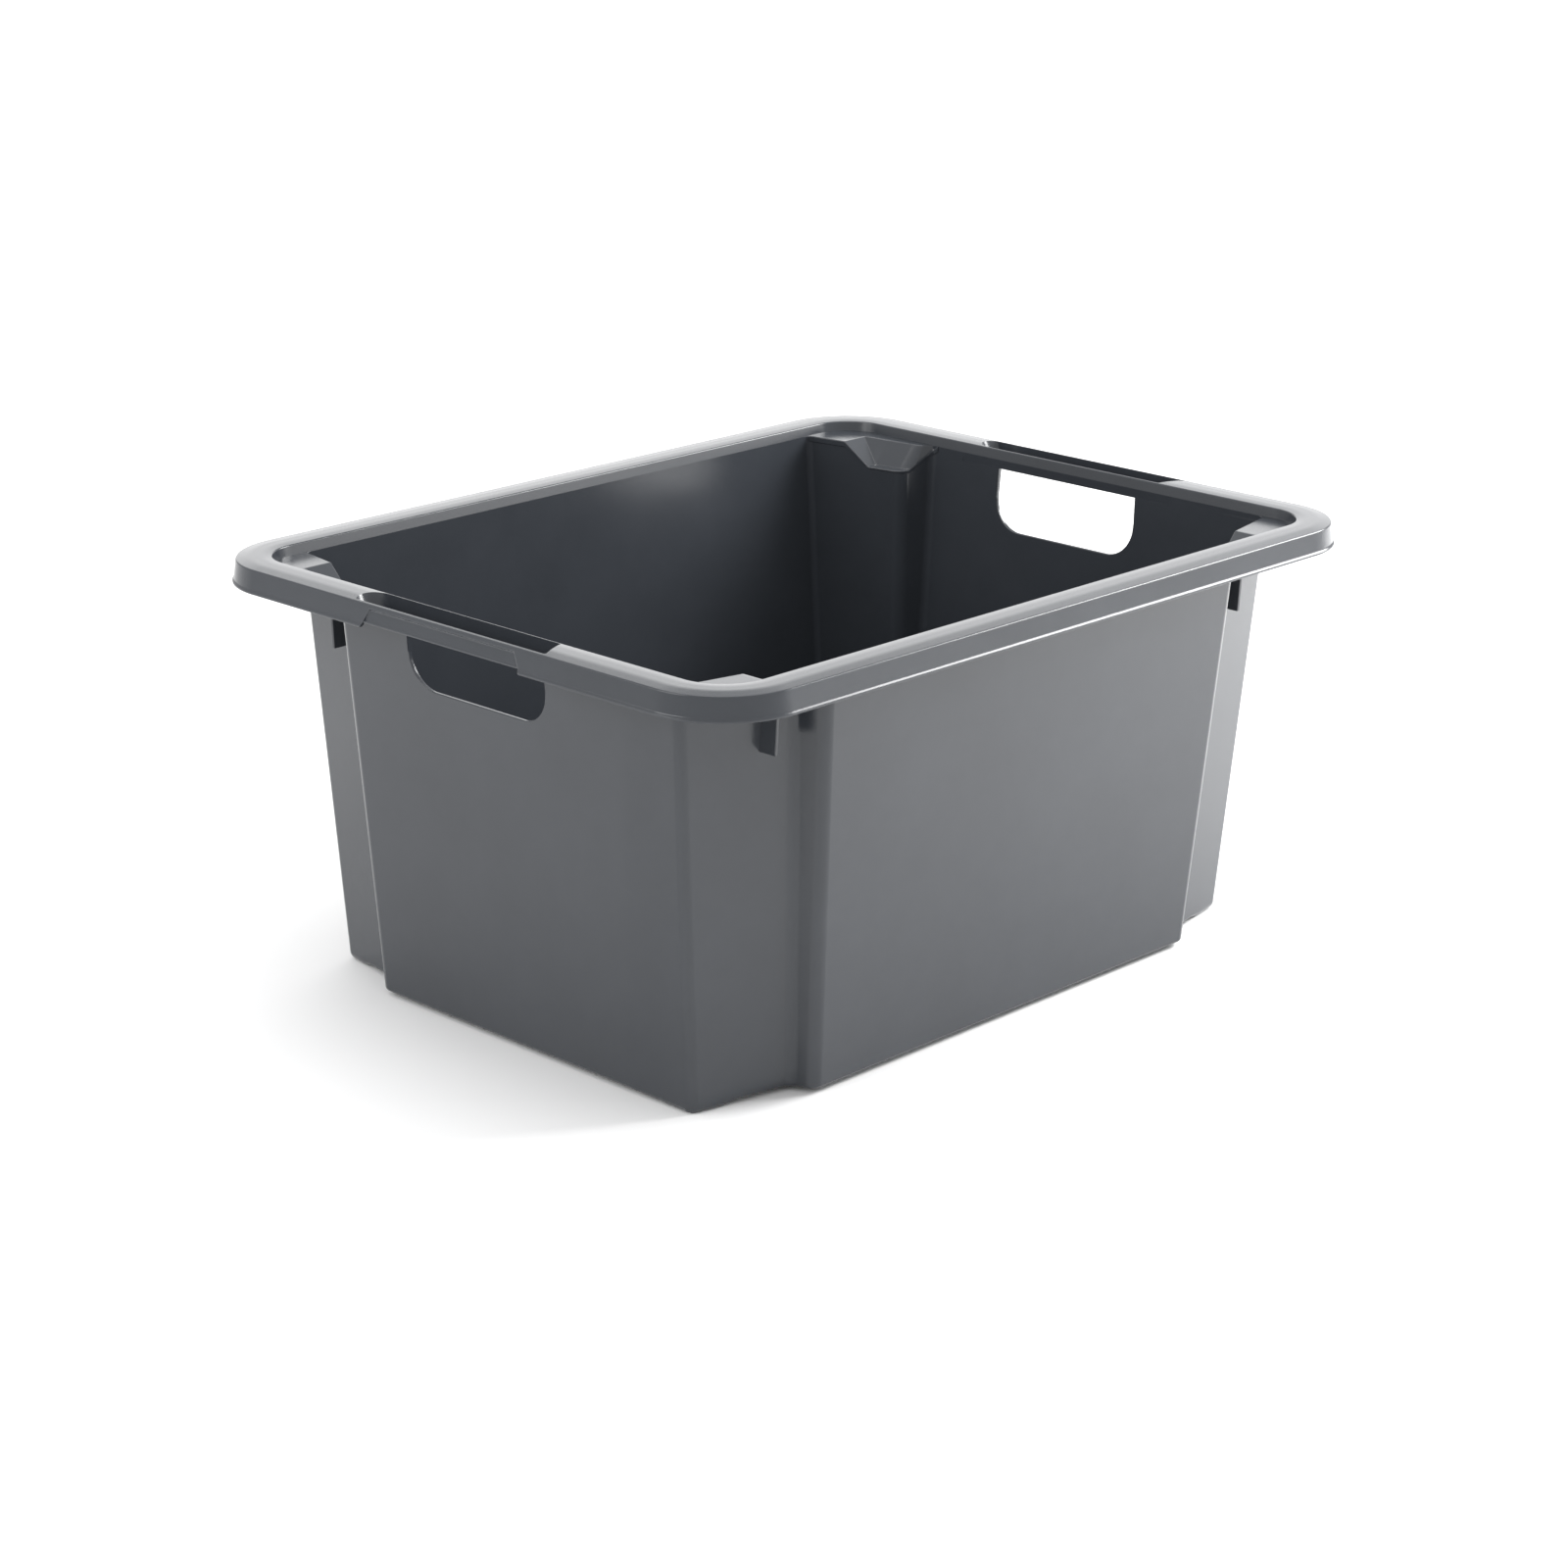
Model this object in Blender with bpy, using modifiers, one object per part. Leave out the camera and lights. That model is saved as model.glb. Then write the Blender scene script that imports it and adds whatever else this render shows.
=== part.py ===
"""Stacking plastic crate: an open-topped, nest-and-stack storage crate in injection-moulded plastic.

Units are metres, +Z is up. The origin is the middle of the footprint on the surface that the feet
stand on. +X runs along the long side, and the front long side faces -Y. The crate is its own mirror
image across the plane x = 0. Each moulded feature (walls, base, rim, handles, seats, ribs) is one
named object: a thin sheet with Solidify, or a small solid.
"""
import math

import bmesh
import bpy
from mathutils import Vector
from mathutils.geometry import delaunay_2d_cdt

# Driving dimensions
LENGTH = 0.490
WIDTH = 0.389
HEIGHT = 0.230
FLANGE = 0.0201            # how far the rim stands out from the wall
WALL = 0.0022              # wall thickness
GAP = 0.0003               # clearance between neighbouring pieces

# Plan of the walls at the base (z = 0) and at the full height; between them every line is straight
BASE_HALF_X, TOP_HALF_X = 0.2070, 0.2256
BASE_HALF_Y, TOP_HALF_Y = 0.1560, 0.1752
FRONT_STEP_X = (0.1400, 0.1510)      # where the front panel ends and its recess begins
FRONT_POST_Y = (0.1308, 0.1434)      # how far forward the front corner posts reach
END_STEP_Y = (0.0955, 0.0985)        # where the end panel ends and its recess begins
BACK_POST_X = (0.1858, 0.1921)       # how far out the back corner posts reach
CREASE_Y = (0.0850, 0.1070)          # soft crease on the end wall, beside the front post
FRONT_RECESS_ANGLE = math.radians(12.3)
END_RECESS_ANGLE = math.radians(9.3)
STRIP_ANGLE = math.radians(2.0)      # the end wall turns in this much past its crease
STEP_WALL_ANGLE = math.radians(75.0)
STEP_RADIUS = 0.0070
POST_RADIUS = 0.0060
ARC_STEPS = 5
TOP_EDGE_RISE = 0.0015     # length over which a wall's top edge rises beside a seat
END_STEP_START = ARC_STEPS + 4       # station on an end wall where its panel ends
FRONT_STEP_START = 1

# Base tray and feet
TRAY_EDGE_Z = 0.0045       # top of the base's turned-up edge
TRAY_EDGE_INSET = 0.0040
TRAY_THICKNESS = 0.0024
FOOT_DROP = 0.0020         # how far the feet stand below the base
FRONT_FOOT_RADIUS = 0.0260
BACK_FOOT_RADIUS = 0.0200
FOOT_BLEND = 0.0100
FOOT_RING_POINTS = 24
FOOT_CLEARANCE = 0.0025    # least distance between the foot's points and the base's edge
TRAY_EDGE_STEPS = 4

# Rim
BAND_BOTTOM_Z = 0.2210     # lower edge of the rim's inner band
RIM_CORNER_RADIUS = 0.0261
RIM_CORNER_STEPS = 12
BAND_HALF_X = LENGTH / 2 - FLANGE
BAND_HALF_Y = WIDTH / 2 - FLANGE
WALL_TOP_Z = BAND_BOTTOM_Z - GAP

# Handles: open troughs in the rim over the hand holes
HANDLE_FRONT_Y = -0.0760
HANDLE_BACK_Y = 0.0785
HANDLE_BOTTOM_Z = 0.2190
HANDLE_INSET = 0.0012      # how much less the grip's skirt stands out than the rim's
TROUGH_FLOOR_Z = 0.2212
TROUGH_INNER, TROUGH_OUTER = 0.0002, 0.0160
TROUGH_FRONT = (-0.0650, -0.0715)    # y of the slanted front end, at the inner and outer edges
TROUGH_BACK = (0.0760, 0.0694)       # y of the rounded back end, at the inner and outer edges
TROUGH_BACK_RADIUS = (0.0090, 0.0025)
TROUGH_CUT_HEIGHT = 0.0200
HOLE_HALF_WIDTH = 0.0505
HOLE_BOTTOM_Z = 0.1839
HOLE_RADIUS = 0.0180
HOLE_CUT_X = 0.2000        # where the hand hole's cutter starts, inside the end wall
HOLE_CUT_DEPTH = 0.0500
OVER_RIM = 0.0100          # how far a cutter that is open upwards reaches past the rim

# Stacking seats, inside the rim's band
SEAT_TOP_Z = 0.2243
SEAT_THICKNESS = SEAT_TOP_Z - BAND_BOTTOM_Z
SEAT_HALF_X = BAND_HALF_X - WALL - GAP
SEAT_HALF_Y = BAND_HALF_Y - WALL - GAP
SEAT_CORNER_RADIUS = RIM_CORNER_RADIUS - WALL - GAP
SEAT_LEAST_SPAN = 0.0005   # a seat ends where less than this is left between wall and band
SEAT_START = 3             # stations between a panel's end and the start of its seat
NOTCH_DEPTH = 0.0128
NOTCH_FLOOR = 0.0060       # width of the notch's flat floor
NOTCH_BACK = 0.0170        # distance from the front edge to the top of the notch's back slope
FLOOR_SHARE, SLOPE_SHARE = 0.3, 0.7  # the most of a narrow seat that floor and slope may take
FRONT_LEDGE = 0.0330       # ledge length along the front recess, from the post
FRONT_SLOPE = 0.0155       # run of the slope from that ledge down to the notch floor
BACK_LEDGE = 0.0230
BACK_SLOPE = 0.0160

# Ribs below the seats
RIB_THICKNESS = 0.0020
RIB_BOTTOM_Z = 0.1840
RIB_TOP_Z = SEAT_TOP_Z - NOTCH_DEPTH - SEAT_THICKNESS - GAP
RIB_OUTER_TOP_Z = RIB_TOP_Z + 0.0050
RIB_REACH = 0.0101
FRONT_RIB_X = 0.1765
BACK_RIB_Y = 0.1300

SHARP_ANGLE = math.radians(35.0)
WALL_LEVELS = 6
MERGE_DISTANCE = 0.00005
GRAPHITE = (0.105, 0.112, 0.120, 1.0)


def clear_scene():
    for old in list(bpy.data.objects):
        bpy.data.objects.remove(old, do_unlink=True)


def new_collection(name):
    collection = bpy.data.collections.new(name)
    bpy.context.scene.collection.children.link(collection)
    return collection


def plastic(name):
    material = bpy.data.materials.new(name + "_plastic")
    material.use_nodes = True
    shader = material.node_tree.nodes["Principled BSDF"]
    shader.inputs["Base Color"].default_value = GRAPHITE
    shader.inputs["Roughness"].default_value = 0.38
    shader.inputs["Metallic"].default_value = 0.0
    return material


# ---------------------------------------------------------------- plan outline of the walls

def heading(angle):
    return Vector((math.cos(angle), math.sin(angle)))


def arc(start, angle_in, angle_out, radius, steps=ARC_STEPS):
    """Points of an arc after `start`, whose direction of travel turns from one angle to the other."""
    side = 1.0 if angle_out > angle_in else -1.0
    centre = start + side * radius * heading(angle_in + math.pi / 2)
    points = []
    for k in range(1, steps + 1):
        angle = angle_in + (angle_out - angle_in) * k / steps
        points.append(centre - side * radius * heading(angle + math.pi / 2))
    return points


def step_curve(start, along, recess_angle, recess_depth):
    """S-shaped step from a panel's end into a recess that is `recess_depth` deep at the panel's end."""
    theta = STEP_WALL_ANGLE
    radius = STEP_RADIUS
    rise = radius * (1 - math.cos(theta)) + radius * (math.cos(recess_angle) - math.cos(theta))
    run = radius * math.sin(theta) + radius * (math.sin(theta) - math.sin(recess_angle))
    slope = math.tan(recess_angle)
    flat = (recess_depth - rise + slope * run) / (math.sin(theta) - slope * math.cos(theta))
    convex = arc(start, along, along + theta, radius)
    wall_end = convex[-1] + flat * heading(along + theta)
    concave = arc(wall_end, along + theta, along + recess_angle, radius)
    return [start] + convex + [wall_end] + concave


def corner_arc(corner, angle_in, angle_out, radius):
    """Fillet at `corner`; the middle point is where the two walls' pieces meet."""
    tangent = radius * math.tan((angle_out - angle_in) / 2)
    start = corner - tangent * heading(angle_in)
    return [start] + arc(start, angle_in, angle_out, radius, 2 * ARC_STEPS)


class Plan:
    """Half outline (x >= 0) at one level: 0 is the base and 1 is the full height."""

    def __init__(self, level):
        self.half_x = (BASE_HALF_X, TOP_HALF_X)[level]
        self.half_y = (BASE_HALF_Y, TOP_HALF_Y)[level]
        half_x, half_y = self.half_x, self.half_y
        step_x, post_y = FRONT_STEP_X[level], FRONT_POST_Y[level]
        step_y, post_x = END_STEP_Y[level], BACK_POST_X[level]

        post_inset = (CREASE_Y[level] - post_y) * math.tan(STRIP_ANGLE)
        front_post = Vector((half_x + post_inset, -post_y))
        slope = math.tan(FRONT_RECESS_ANGLE)
        depth = half_y - post_y - (front_post.x - step_x) * slope
        front_step = step_curve(Vector((step_x, -half_y)), 0.0, FRONT_RECESS_ANGLE, depth)
        strip = math.pi / 2 - STRIP_ANGLE
        front_corner = corner_arc(front_post, FRONT_RECESS_ANGLE, strip, POST_RADIUS)

        back_post = Vector((post_x, half_y))
        slope = math.tan(END_RECESS_ANGLE)
        depth = half_x - post_x - (half_y - step_y) * slope
        upright = math.pi / 2
        end_step = step_curve(Vector((half_x, step_y)), upright, END_RECESS_ANGLE, depth)
        back_corner = corner_arc(back_post, upright + END_RECESS_ANGLE, math.pi, POST_RADIUS)

        middle = ARC_STEPS
        self.front = [Vector((0.0, -half_y))] + front_step
        self.front += ledge_stations(front_step[-1], front_corner[0], FRONT_LEDGE, FRONT_SLOPE)
        self.front += front_corner[:middle + 1]
        self.end = front_corner[middle:] + [front_corner[-1] + TOP_EDGE_RISE * heading(strip)]
        self.end += [Vector((half_x, -CREASE_Y[level])), Vector((half_x, 0.0))] + end_step
        self.end += ledge_stations(end_step[-1], back_corner[0], BACK_LEDGE, BACK_SLOPE)
        self.end += back_corner[:middle + 1]
        self.back = back_corner[middle:] + [back_corner[-1] + TOP_EDGE_RISE * heading(math.pi)]
        self.back.append(Vector((0.0, half_y)))


def ledge_stations(step_end, post_start, ledge, slope):
    """Stations on a recess where the seat's slope meets its floor and its ledge."""
    back = (step_end - post_start).normalized()
    reach = (step_end - post_start).length
    return [post_start + min(ledge + slope, reach - 0.001) * back, post_start + ledge * back]


PLANS = (Plan(0), Plan(1))


def wall_point(side, index, z):
    """A wall's outer surface at one station of one side, at height z."""
    low, high = [getattr(plan, side)[index] for plan in PLANS]
    flat = low.lerp(high, z / HEIGHT)
    return Vector((flat.x, flat.y, z))


def side_count(side):
    return len(getattr(PLANS[0], side))


def outline(z):
    """Half outline at height z, from the front's middle to the back's middle."""
    points = [wall_point("front", k, z) for k in range(side_count("front"))]
    points += [wall_point("end", k, z) for k in range(1, side_count("end"))]
    points += [wall_point("back", k, z) for k in range(1, side_count("back"))]
    return points


def inward_normals(points):
    """Horizontal unit normals to the left of a row of points, which is the crate's inside."""
    normals = []
    for k in range(len(points)):
        ahead = points[min(k + 1, len(points) - 1)]
        behind = points[max(k - 1, 0)]
        along = (ahead - behind).normalized()
        normals.append(Vector((-along.y, along.x, 0.0)))
    return normals


# ---------------------------------------------------------------- mesh helpers

def linked_object(name, bm, collection):
    mesh = bpy.data.meshes.new(name)
    bm.to_mesh(mesh)
    bm.free()
    mesh.shade_smooth()
    mesh.set_sharp_from_angle(angle=SHARP_ANGLE)
    obj = bpy.data.objects.new(name, mesh)
    collection.objects.link(obj)
    return obj


def solid_object(name, bm, collection):
    bmesh.ops.recalc_face_normals(bm, faces=bm.faces)
    return linked_object(name, bm, collection)


def add_rows(bm, rows):
    """Quads between successive rows of points; returns the vertices row by row."""
    grid = [[bm.verts.new(point) for point in row] for row in rows]
    for upper, lower in zip(grid, grid[1:]):
        for k in range(len(upper) - 1):
            bm.faces.new((upper[k], upper[k + 1], lower[k + 1], lower[k]))
    return grid


def mirrored(rows):
    """The same rows on the other side of x = 0, in the order that keeps the faces' direction."""
    return [[Vector((-p.x, p.y, p.z)) for p in reversed(row)] for row in rows]


def add_mirror(obj):
    mirror = obj.modifiers.new("Mirror", "MIRROR")
    mirror.use_clip = True
    mirror.merge_threshold = MERGE_DISTANCE


def add_solidify(obj, thickness):
    solid = obj.modifiers.new("Solidify", "SOLIDIFY")
    solid.thickness = thickness
    solid.offset = -1.0
    solid.use_even_offset = True


def add_cut(obj, cutter):
    cut = obj.modifiers.new("Cut", "BOOLEAN")
    cut.operation = "DIFFERENCE"
    cut.solver = "EXACT"
    cut.object = cutter


def sheet(name, rows, collection, thickness=WALL, symmetric=False):
    """A thin wall from rows of points on its outer surface, each row running below the one before."""
    bm = bmesh.new()
    add_rows(bm, rows)
    obj = oriented_sheet(name, bm, rows, collection)
    if symmetric:
        add_mirror(obj)
    add_solidify(obj, thickness)
    obj.data.materials.append(plastic(name))
    return obj


def oriented_sheet(name, bm, rows, collection):
    """Makes the sheet's faces point to the right of its rows, away from the crate's inside."""
    bmesh.ops.recalc_face_normals(bm, faces=bm.faces)
    bm.faces.ensure_lookup_table()
    face = bm.faces[0]
    along = rows[0][1] - rows[0][0]
    down = rows[1][0] - rows[0][0]
    outward = down.cross(along)
    if face.normal.dot(outward) < 0:
        bmesh.ops.reverse_faces(bm, faces=bm.faces)
    return linked_object(name, bm, collection)


def prism(name, outline_points, push, collection):
    """A solid from a flat outline pushed along a vector."""
    bm = bmesh.new()
    face = bm.faces.new([bm.verts.new(point) for point in outline_points])
    pushed = bmesh.ops.extrude_face_region(bm, geom=[face])
    moved = [item for item in pushed["geom"] if isinstance(item, bmesh.types.BMVert)]
    bmesh.ops.translate(bm, vec=push, verts=moved)
    return solid_object(name, bm, collection)


def as_cutter(obj):
    obj.hide_render = True
    obj.display_type = "WIRE"
    return obj


# ---------------------------------------------------------------- walls

def seat_depth(side, index):
    """How far the seat's surface lies below its ledge at one station: 0 on the ledge, 1 in the notch."""
    first = step_start(side)
    rise_steps = ARC_STEPS + 2
    floor = first + rise_steps + ARC_STEPS
    if index > floor or index <= first:
        return 0.0
    return min((index - first) / rise_steps, 1.0)


def step_start(side):
    return FRONT_STEP_START if side == "front" else END_STEP_START


def seat_range(side):
    """First and last station of a side that its seat covers."""
    return step_start(side) + SEAT_START, side_count(side) - 1


def wall_top(side, index):
    """Height of a wall's top edge: lower where a seat lies on it."""
    if side == "back":
        return WALL_TOP_Z if index > ARC_STEPS else SEAT_TOP_Z - SEAT_THICKNESS - GAP
    first, last = seat_range(side)
    seated = first - 1 <= index <= last or (side == "end" and index <= ARC_STEPS)
    if not seated:
        return WALL_TOP_Z
    depth = seat_depth(side, index)
    if index <= step_start(side) + 2 * ARC_STEPS:
        depth = max(depth, seat_depth(side, index + SEAT_START))
    return SEAT_TOP_Z - SEAT_THICKNESS - 2 * GAP - NOTCH_DEPTH * depth


def wall_rows(side, first_trim=0.0, last_trim=0.0):
    """Rows of a wall from its top edge down, with its ends trimmed back from the seams."""
    bottom = TRAY_EDGE_Z + 2 * GAP
    rows = []
    for level in range(WALL_LEVELS + 1):
        row = []
        for k in range(side_count(side)):
            top = wall_top(side, k)
            row.append(wall_point(side, k, top + (bottom - top) * level / WALL_LEVELS))
        if first_trim:
            row[0] += (row[1] - row[0]).normalized() * first_trim
        if last_trim:
            row[-1] += (row[-2] - row[-1]).normalized() * last_trim
        rows.append(row)
    return rows


def front_wall(parts):
    return sheet("front_wall", wall_rows("front", last_trim=GAP), parts, symmetric=True)


def back_wall(parts):
    return sheet("back_wall", wall_rows("back", first_trim=GAP), parts, symmetric=True)


def hand_hole_cutter(sign, cutters):
    """Prism through an end wall: a rounded hand hole, open upwards into the handle's length."""
    points = []
    corner_y = HOLE_HALF_WIDTH - HOLE_RADIUS
    corner_z = HOLE_BOTTOM_Z + HOLE_RADIUS
    for centre_y, start in ((-corner_y, math.pi), (corner_y, 1.5 * math.pi)):
        for k in range(2 * ARC_STEPS + 1):
            angle = start + math.pi / 2 * k / (2 * ARC_STEPS)
            y = centre_y + HOLE_RADIUS * math.cos(angle)
            points.append(Vector((0.0, y, corner_z + HOLE_RADIUS * math.sin(angle))))
    seat_z = HANDLE_BOTTOM_Z - GAP
    over = HEIGHT + OVER_RIM
    points += [Vector((0.0, HOLE_HALF_WIDTH, seat_z)), Vector((0.0, HANDLE_BACK_Y + GAP, seat_z))]
    points += [Vector((0.0, HANDLE_BACK_Y + GAP, over)), Vector((0.0, HANDLE_FRONT_Y - GAP, over))]
    points += [Vector((0.0, HANDLE_FRONT_Y - GAP, seat_z)), Vector((0.0, -HOLE_HALF_WIDTH, seat_z))]
    start = [point + Vector((sign * HOLE_CUT_X, 0.0, 0.0)) for point in points]
    name = "hand_hole_right" if sign > 0 else "hand_hole_left"
    return as_cutter(prism(name, start, Vector((sign * HOLE_CUT_DEPTH, 0.0, 0.0)), cutters))


def end_wall(name, sign, parts, cutters):
    rows = wall_rows("end", first_trim=GAP, last_trim=GAP)
    if sign < 0:
        rows = mirrored(rows)
    obj = sheet(name, rows, parts)
    add_cut(obj, hand_hole_cutter(sign, cutters))
    return obj


# ---------------------------------------------------------------- base

def smooth(t):
    t = min(max(t, 0.0), 1.0)
    return t * t * (3 - 2 * t)


def foot_weight(x, y):
    """1 on a foot, 0 away from the feet, with a soft step between."""
    front = Vector((BASE_HALF_X, -FRONT_POST_Y[0]))
    back = Vector((BACK_POST_X[0], BASE_HALF_Y))
    weight = 0.0
    for corner, radius in ((front, FRONT_FOOT_RADIUS), (back, BACK_FOOT_RADIUS)):
        distance = (Vector((abs(x), y)) - corner).length
        weight = max(weight, 1 - smooth((distance - radius + FOOT_BLEND / 2) / FOOT_BLEND))
    return weight


def underside_z(x, y):
    return FOOT_DROP * (1 - foot_weight(x, y))


def base_edge_ring(turn):
    """One ring of the base's rounded edge: turn 0 is the top of the edge, 1 is the underside."""
    angle = (1 - turn) * math.pi / 2
    edge = outline(TRAY_EDGE_Z)
    ring = []
    for point, normal in zip(edge, inward_normals(edge)):
        shifted = point + normal * TRAY_EDGE_INSET * (1 - math.sin(angle))
        shifted.x = max(shifted.x, 0.0)
        low = underside_z(shifted.x, shifted.y)
        shifted.z = low + (TRAY_EDGE_Z - low) * (1 - math.cos(angle))
        ring.append(shifted)
    ring[0].x = 0.0
    ring[-1].x = 0.0
    return ring


def foot_points(border):
    """Points inside the base's outline, on circles round each foot, that carry its soft step."""
    front = Vector((BASE_HALF_X, -FRONT_POST_Y[0]))
    back = Vector((BACK_POST_X[0], BASE_HALF_Y))
    points = []
    for corner, radius in ((front, FRONT_FOOT_RADIUS), (back, BACK_FOOT_RADIUS)):
        for distance in (radius - FOOT_BLEND / 2, radius, radius + FOOT_BLEND / 2):
            for k in range(FOOT_RING_POINTS):
                spot = corner + distance * heading(2 * math.pi * k / FOOT_RING_POINTS)
                near = min((spot - b).length for b in border)
                if inside(border, spot) and near > FOOT_CLEARANCE:
                    points.append(spot)
    return points


def inside(border, spot):
    """Even-odd test of a spot against a closed border."""
    result = False
    for a, b in zip(border, border[1:] + border[:1]):
        if (a.y > spot.y) != (b.y > spot.y):
            if spot.x < a.x + (b.x - a.x) * (spot.y - a.y) / (b.y - a.y):
                result = not result
    return result


def fill_underside(bm, border):
    """Triangles inside the lowest ring, with the feet's soft steps."""
    flat = [Vector((v.co.x, v.co.y)) for v in border]
    edges = [(k, (k + 1) % len(flat)) for k in range(len(flat))]
    spots, _, faces, origin, _, _ = delaunay_2d_cdt(flat + foot_points(flat), edges, [], 1, 1e-7)
    verts = []
    for spot, sources in zip(spots, origin):
        known = [j for j in sources if j < len(border)]
        if known:
            verts.append(border[known[0]])
        else:
            verts.append(bm.verts.new((spot.x, spot.y, underside_z(spot.x, spot.y))))
    for face in faces:
        bm.faces.new([verts[k] for k in face])


def base_panel(parts):
    """Flat base with a rounded, turned-up edge and a shallow foot under each corner."""
    rings = [base_edge_ring(k / TRAY_EDGE_STEPS) for k in range(TRAY_EDGE_STEPS + 1)]
    bm = bmesh.new()
    grid = add_rows(bm, rings)
    fill_underside(bm, grid[-1])
    obj = oriented_sheet("base_panel", bm, rings, parts)
    add_mirror(obj)
    add_solidify(obj, TRAY_THICKNESS)
    obj.data.materials.append(plastic("base_panel"))
    return obj


# ---------------------------------------------------------------- rim

def band_path(handle_y, corner_y):
    """Half path (x >= 0) of the rim's inner band and its outward directions.

    It runs from the middle of the long side that `corner_y` (-1 or 1) names, round the corner, to
    the handle's end at `handle_y`.
    """
    centre = Vector((BAND_HALF_X - RIM_CORNER_RADIUS, corner_y * (BAND_HALF_Y - RIM_CORNER_RADIUS)))
    path = [(Vector((0.0, corner_y * BAND_HALF_Y)), Vector((0.0, corner_y)))]
    for k in range(RIM_CORNER_STEPS + 1):
        out = heading(corner_y * math.pi / 2 * (1 - k / RIM_CORNER_STEPS))
        path.append((centre + RIM_CORNER_RADIUS * out, out))
    path.append((Vector((BAND_HALF_X, handle_y)), Vector((1.0, 0.0))))
    return path


def rim_profile():
    """Outer surface of the rim's section, (out, z): skirt's lower edge, over the top, inner band."""
    skirt_low = HEIGHT - 0.0134
    profile = [(FLANGE, skirt_low), (FLANGE - 0.0006, skirt_low + 0.0016)]
    profile += [(FLANGE - 0.0019, HEIGHT - 0.0032), (FLANGE - 0.0026, HEIGHT - 0.0014)]
    profile += [(FLANGE - 0.0045, HEIGHT - 0.0005), (0.0080, HEIGHT), (0.0002, HEIGHT - 0.0003)]
    profile += [(-0.0014, HEIGHT - 0.0008), (-WALL, HEIGHT - 0.0022), (-WALL, BAND_BOTTOM_Z)]
    return profile


def rim_half(name, path, parts):
    rows = []
    for out, z in reversed(rim_profile()):
        rows.append([Vector((p.x + n.x * out, p.y + n.y * out, z)) for p, n in path])
    bm = bmesh.new()
    add_rows(bm, rows)
    bmesh.ops.recalc_face_normals(bm, faces=bm.faces)
    bm.faces.ensure_lookup_table()
    top = max(bm.faces, key=lambda face: face.calc_center_median().z)
    if top.normal.z < 0:
        bmesh.ops.reverse_faces(bm, faces=bm.faces)
    obj = linked_object(name, bm, parts)
    add_mirror(obj)
    add_solidify(obj, WALL)
    obj.data.materials.append(plastic(name))
    return obj


# ---------------------------------------------------------------- handles

def handle(name, sign, parts, cutters):
    """Grip over a hand hole: a bar with an open trough in its top, its skirt stepped in a little."""
    skirt = FLANGE - HANDLE_INSET
    low = HANDLE_BOTTOM_Z
    section = [(-WALL, low), (-WALL, HEIGHT - 0.0022), (-0.0014, HEIGHT - 0.0010)]
    section += [(0.0002, HEIGHT - 0.0006), (skirt - 0.0045, HEIGHT - 0.0006)]
    section += [(skirt - 0.0022, HEIGHT - 0.0018), (skirt - 0.0016, HEIGHT - 0.0034), (skirt, low)]
    start = HANDLE_FRONT_Y
    points = [Vector((sign * (BAND_HALF_X + out), start, z)) for out, z in section]
    bar = prism(name, points, Vector((0.0, HANDLE_BACK_Y - start, 0.0)), parts)
    add_cut(bar, trough_cutter(name, sign, cutters))
    bar.data.materials.append(plastic(name))
    return bar


def rounded_corner(before, corner, after, radius):
    """Points that round one corner of a flat outline."""
    angle_in = math.atan2(corner.y - before.y, corner.x - before.x)
    angle_out = math.atan2(after.y - corner.y, after.x - corner.x)
    turn = (angle_out - angle_in + math.pi) % (2 * math.pi) - math.pi
    start = corner - radius * math.tan(abs(turn) / 2) * heading(angle_in)
    return [start] + arc(start, angle_in, angle_in + turn, radius)


def trough_cutter(name, sign, cutters):
    """Trough: rounded at its back end and slanted at its front end."""
    front_inner = Vector((TROUGH_INNER, TROUGH_FRONT[0]))
    front_outer = Vector((TROUGH_OUTER, TROUGH_FRONT[1]))
    back_inner = Vector((TROUGH_INNER, TROUGH_BACK[0]))
    back_outer = Vector((TROUGH_OUTER, TROUGH_BACK[1]))
    plan = [front_inner, front_outer]
    plan += rounded_corner(front_outer, back_outer, back_inner, TROUGH_BACK_RADIUS[1])
    plan += rounded_corner(back_outer, back_inner, front_inner, TROUGH_BACK_RADIUS[0])
    points = [Vector((sign * (BAND_HALF_X + p.x), p.y, TROUGH_FLOOR_Z)) for p in plan]
    return as_cutter(prism(name + "_trough", points, Vector((0.0, 0.0, TROUGH_CUT_HEIGHT)), cutters))


# ---------------------------------------------------------------- stacking seats

def corner_centre(side):
    """Centre of the rounded corner beside the seat at the end of one side."""
    up = -1.0 if side == "front" else 1.0
    return Vector((SEAT_HALF_X - SEAT_CORNER_RADIUS, up * (SEAT_HALF_Y - SEAT_CORNER_RADIUS)))


def band_point(spot, side):
    """Where a line from a spot, going straight out across the seat's side, meets the band."""
    centre = corner_centre(side)
    if side == "front":
        over = max(spot.x - centre.x, 0.0)
        return Vector((spot.x, centre.y - math.sqrt(max(SEAT_CORNER_RADIUS ** 2 - over ** 2, 0.0))))
    over = max(spot.y - centre.y, 0.0)
    return Vector((centre.x + math.sqrt(max(SEAT_CORNER_RADIUS ** 2 - over ** 2, 0.0)), spot.y))


def corner_sweep(start, end, side, count):
    """Points along the band's rounded corner from `start` on, and then the end point."""
    centre = corner_centre(side)
    first = math.atan2(start.y - centre.y, start.x - centre.x)
    last = 0.0 if side == "front" else math.pi / 2
    turns = count - 1
    angles = [first + (last - first) * k / turns for k in range(1, turns + 1)]
    return [centre + SEAT_CORNER_RADIUS * heading(angle) for angle in angles] + [end]


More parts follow.
